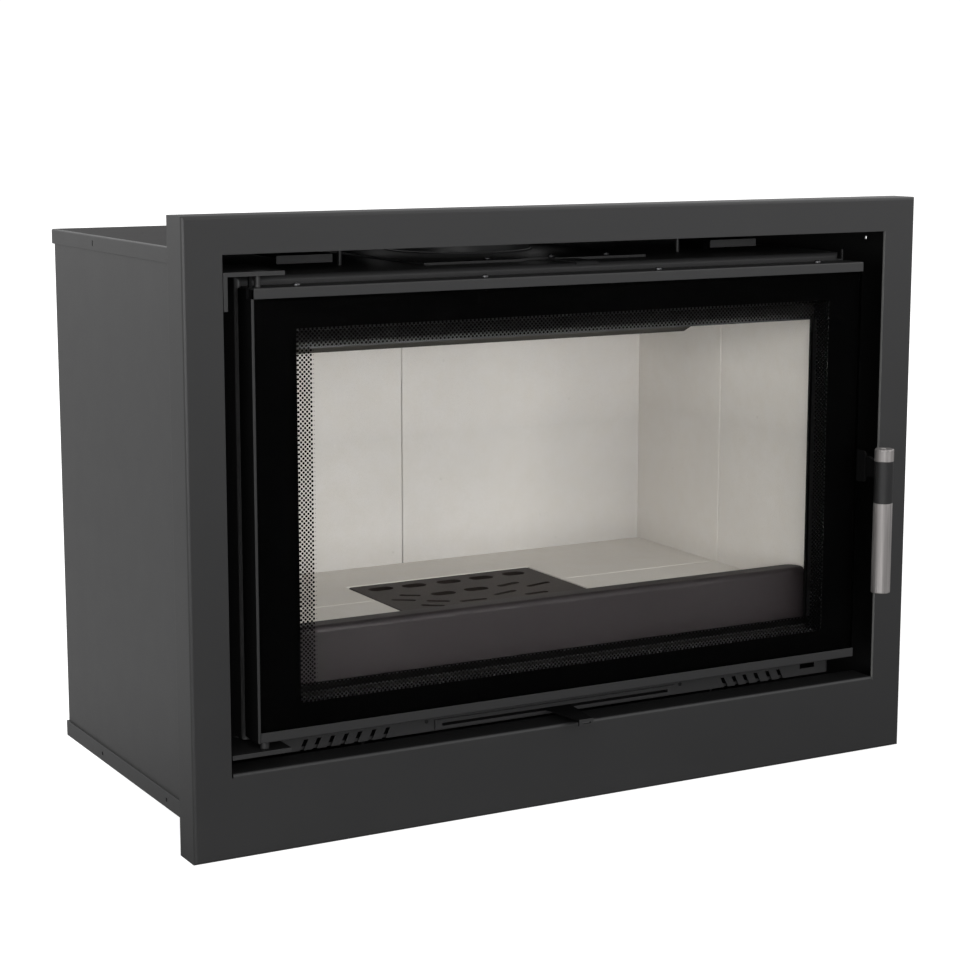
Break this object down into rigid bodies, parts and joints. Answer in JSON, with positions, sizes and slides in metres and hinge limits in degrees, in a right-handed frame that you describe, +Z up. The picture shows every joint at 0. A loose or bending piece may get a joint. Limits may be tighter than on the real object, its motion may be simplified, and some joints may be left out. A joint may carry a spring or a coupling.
{
  "type": "built-in fireplace insert",
  "caption": "Built-in wood fireplace insert: lined firebox with a hinged glass door, lift lever, air slide, folded convection casing and black face frame.",
  "frame": {"origin": "centre of the footprint of the whole object, at the underside of the levelling feet", "axes": "+X to the right as seen from the front, +Y from the door to the back, +Z up"},
  "size_m": [0.8, 0.4502, 0.5793],
  "materials": {
    "face_black": "fine matt black stove paint",
    "casing_grey": "dark grey coated sheet, satin",
    "firebox_black": "matt black stove paint on steel plate",
    "cast_dark": "dark cast iron, slightly rough",
    "guard_steel": "dark heat resistant paint",
    "mineral_board": "pressed mineral insulating board, pale warm grey",
    "ceramic_glass": "clear glass ceramic with black enamel border",
    "stainless": "fine turned stainless steel",
    "zinc": "zinc plated",
    "galvanised": "galvanised sheet",
    "collar_black": "black heat resistant moulding",
    "rope": "black knitted glass fibre rope"
  },
  "bodies": {
    "insert_body": {"surround_frame": "face_black", "frame_brackets": "galvanised", "casing_left": "casing_grey", "casing_right": "casing_grey", "casing_back": "casing_grey", "casing_lid": "casing_grey", "casing_base": "casing_grey", "casing_screws": "zinc", "levelling_feet": "zinc", "firebox_front": "firebox_black", "firebox_side_left": "firebox_black", "firebox_side_right": "firebox_black", "firebox_back": "firebox_black", "firebox_top": "firebox_black", "hearth_plate": "firebox_black", "plenum_floor": "firebox_black", "firebox_supports": "firebox_black", "flue_plate": "firebox_black", "flue_collar": "firebox_black", "flue_plate_screws": "zinc", "lid_brackets": "firebox_black", "lid_studs": "zinc", "upper_deflector": "firebox_black", "baffle": "mineral_board", "baffle_ledge": "guard_steel", "baffle_pins": "zinc", "lining_back_left": "mineral_board", "lining_back_right": "mineral_board", "lining_side_left_front": "mineral_board", "lining_side_left_rear": "mineral_board", "lining_side_right_front": "mineral_board", "lining_side_right_rear": "mineral_board", "floor_board_front": "mineral_board", "floor_board_rear": "mineral_board", "grate_frame": "cast_dark", "air_slide_guide": "firebox_black", "guide_screws": "zinc", "hinge_bracket_top": "firebox_black", "hinge_bracket_bottom": "firebox_black", "hinge_pins": "zinc", "hinge_spacer": "zinc", "latch_keeper": "zinc"},
    "door": {"door_frame": "firebox_black", "door_glass": "ceramic_glass", "door_top_strip": "firebox_black", "door_bottom_strip": "firebox_black", "door_left_strip": "firebox_black", "door_screws": "zinc", "door_gasket": "rope", "latch_plate": "firebox_black", "latch_screws": "zinc", "latch_bolt": "zinc"},
    "handle": {"handle_arm": "firebox_black", "handle_collar": "collar_black", "handle_tube_upper": "stainless", "handle_tube_lower": "stainless"},
    "air_slide": {"air_slide": "firebox_black"},
    "log_guard": {"log_guard": "guard_steel"},
    "ash_pan": {"ash_pan": "galvanised"},
    "grate": {"grate": "cast_dark"}
  },
  "joints": [
    {"name": "door_hinge", "type": "hinge", "parent": "insert_body", "child": "door", "pos_m": [-0.3255, -0.16587, 0.31], "axis": [0, 0, -1], "range_deg": [0, 115]},
    {"name": "handle_pivot", "type": "hinge", "parent": "door", "child": "handle", "pos_m": [0.339, -0.17988, 0.307], "axis": [-1, 0, 0], "range_deg": [0, 35]},
    {"name": "air_slide_travel", "type": "slide", "parent": "insert_body", "child": "air_slide", "axis": [1, 0, 0], "range_m": [-0.1, 0.1]},
    {"name": "log_guard_lift", "type": "slide", "parent": "insert_body", "child": "log_guard", "axis": [0, 0, 1], "range_m": [0, 0.06]},
    {"name": "ash_pan_lift", "type": "slide", "parent": "insert_body", "child": "ash_pan", "axis": [0, 0, 1], "range_m": [0, 0.09]},
    {"name": "grate_lift", "type": "slide", "parent": "ash_pan", "child": "grate", "axis": [0, 0, 1], "range_m": [0, 0.06]}
  ]
}
